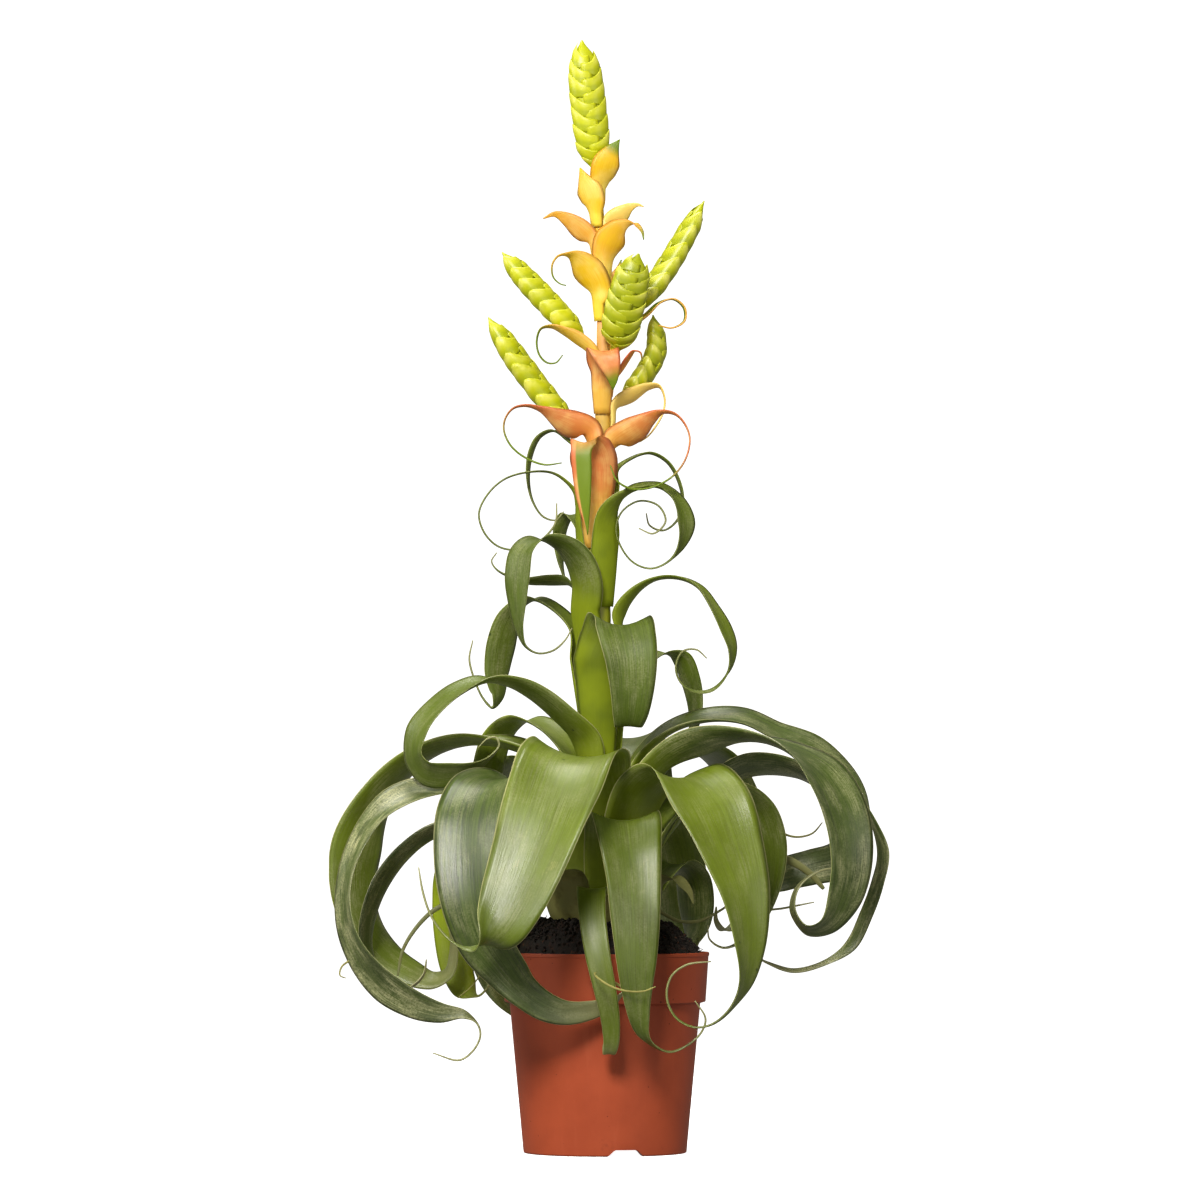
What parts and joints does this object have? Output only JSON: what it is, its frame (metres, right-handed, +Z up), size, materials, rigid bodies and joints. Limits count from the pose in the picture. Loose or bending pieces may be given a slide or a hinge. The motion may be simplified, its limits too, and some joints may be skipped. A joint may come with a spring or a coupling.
{
  "type": "potted flowering tillandsia",
  "caption": "Flowering air plant with a leafy rosette, a tall stalk of curled bracts and branched flower spikes, rooted in peat in a round plastic grow pot.",
  "frame": {"origin": "middle of the pot's foot, on the surface the pot stands on", "axes": "+Z up along the pot's axis, -Y towards the front of the plant, +X to its right as seen from the front"},
  "size_m": [0.3256, 0.2563, 0.6461],
  "materials": {
    "pot": "satin terracotta-coloured plastic",
    "soil": "loose dark peat",
    "stem": "smooth yellow-green stalk",
    "leaf": "smooth green leaf with a soft shine",
    "stalk_leaf": "green leaf with a silvery outer face",
    "bract": "orange and gold bract with greenish tips",
    "spike": "chartreuse flower scales"
  },
  "bodies": {
    "root": {"pot": "pot", "soil": "soil", "stem": "stem", "rosette_leaf_01": "leaf", "rosette_leaf_02": "leaf", "rosette_leaf_03": "leaf", "rosette_leaf_04": "leaf", "rosette_leaf_05": "leaf", "rosette_leaf_06": "leaf", "rosette_leaf_07": "leaf", "rosette_leaf_08": "leaf", "rosette_leaf_09": "leaf", "rosette_leaf_10": "leaf", "rosette_leaf_11": "leaf", "rosette_leaf_12": "leaf", "rosette_leaf_13": "leaf", "rosette_leaf_14": "leaf", "rosette_leaf_15": "leaf", "rosette_leaf_16": "leaf", "rosette_leaf_17": "leaf", "rosette_leaf_18": "leaf", "rosette_leaf_19": "leaf", "rosette_leaf_20": "leaf", "rosette_leaf_21": "leaf", "stalk_leaf_01": "stalk_leaf", "stalk_leaf_02": "stalk_leaf", "stalk_leaf_03": "stalk_leaf", "stalk_leaf_04": "stalk_leaf", "stalk_leaf_05": "stalk_leaf", "stalk_leaf_06": "stalk_leaf", "stalk_leaf_07": "stalk_leaf", "stalk_leaf_08": "stalk_leaf", "stalk_leaf_09": "stalk_leaf", "stalk_leaf_10": "stalk_leaf", "stalk_leaf_11": "stalk_leaf", "bract_01": "bract", "bract_02": "bract", "bract_03": "bract", "bract_04": "bract", "bract_05": "bract", "bract_06": "bract", "bract_07": "bract", "bract_08": "bract", "bract_09": "bract", "bract_10": "bract", "bract_11": "bract", "bract_12": "bract", "bract_13": "bract", "bract_14": "bract", "bract_15": "bract", "flower_spike_01": "spike", "flower_spike_02": "spike", "flower_spike_03": "spike", "flower_spike_04": "spike", "flower_spike_05": "spike", "flower_spike_06": "spike"}
  },
  "joints": []
}
